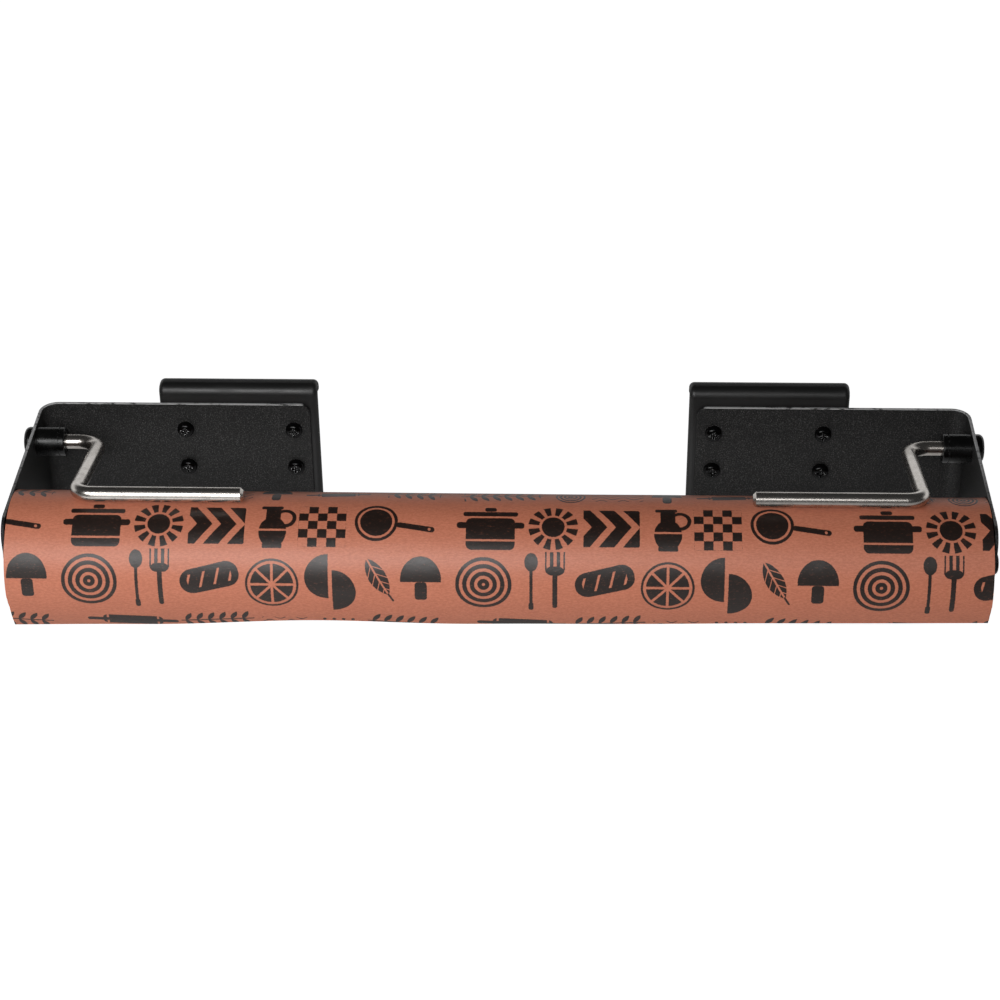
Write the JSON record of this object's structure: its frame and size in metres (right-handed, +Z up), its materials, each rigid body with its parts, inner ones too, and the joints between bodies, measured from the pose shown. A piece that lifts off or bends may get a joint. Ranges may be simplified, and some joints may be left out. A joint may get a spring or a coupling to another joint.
{
  "type": "paper roll stand",
  "caption": "Wall-rail stand for a roll of printed paper: hooked black steel brackets hold the roll by hubs in its core, and pivoting bent rods rest on top of the paper.",
  "frame": {"origin": "midway between the hooks, on the line where their webs sit on the top edge of the rail", "axes": "+X to the right along the roll, +Y back towards the wall, +Z up"},
  "size_m": [0.4698, 0.1336, 0.0707],
  "materials": {
    "textured_coat": "fine-textured black powder coat",
    "satin_coat": "smooth satin black",
    "gloss_screw": "gloss black",
    "black_plastic": "satin black plastic",
    "zinc_washer": "zinc plated",
    "steel_rod": "satin stainless",
    "core_board": "wound board",
    "pink_paper": "uncoated pink kraft, printed in dark brown"
  },
  "bodies": {
    "left_stand": {"left_bracket": "textured_coat", "left_hook": "satin_coat", "left_hook_screws": "gloss_screw", "left_bushing": "black_plastic", "left_hub": "black_plastic", "left_hub_washer": "zinc_washer", "left_hub_screw": "gloss_screw"},
    "left_swing": {"left_arm": "steel_rod", "left_pivot_washer": "black_plastic", "left_pivot_cap": "black_plastic"},
    "right_stand": {"right_bracket": "textured_coat", "right_hook": "satin_coat", "right_hook_screws": "gloss_screw", "right_bushing": "black_plastic", "right_hub": "black_plastic", "right_hub_washer": "zinc_washer", "right_hub_screw": "gloss_screw"},
    "right_swing": {"right_arm": "steel_rod", "right_pivot_washer": "black_plastic", "right_pivot_cap": "black_plastic"},
    "roll": {"roll_core": "core_board", "paper_roll": "pink_paper"}
  },
  "joints": [
    {"name": "left_arm_swing", "type": "hinge", "parent": "left_stand", "child": "left_swing", "pos_m": [-0.2219, -0.0297, -0.0142], "axis": [-1, 0, 0], "range_deg": [0, 105]},
    {"name": "right_arm_swing", "type": "hinge", "parent": "right_stand", "child": "right_swing", "pos_m": [0.2219, -0.0297, -0.0142], "axis": [-1, 0, 0], "range_deg": [0, 105]},
    {"name": "roll_spin", "type": "hinge", "parent": "left_stand", "child": "roll", "pos_m": [0, -0.0967, -0.0353], "axis": [1, 0, 0], "continuous": true},
    {"name": "right_stand_slide", "type": "slide", "parent": "left_stand", "child": "right_stand", "axis": [1, 0, 0], "range_m": [0, 0.04]}
  ]
}
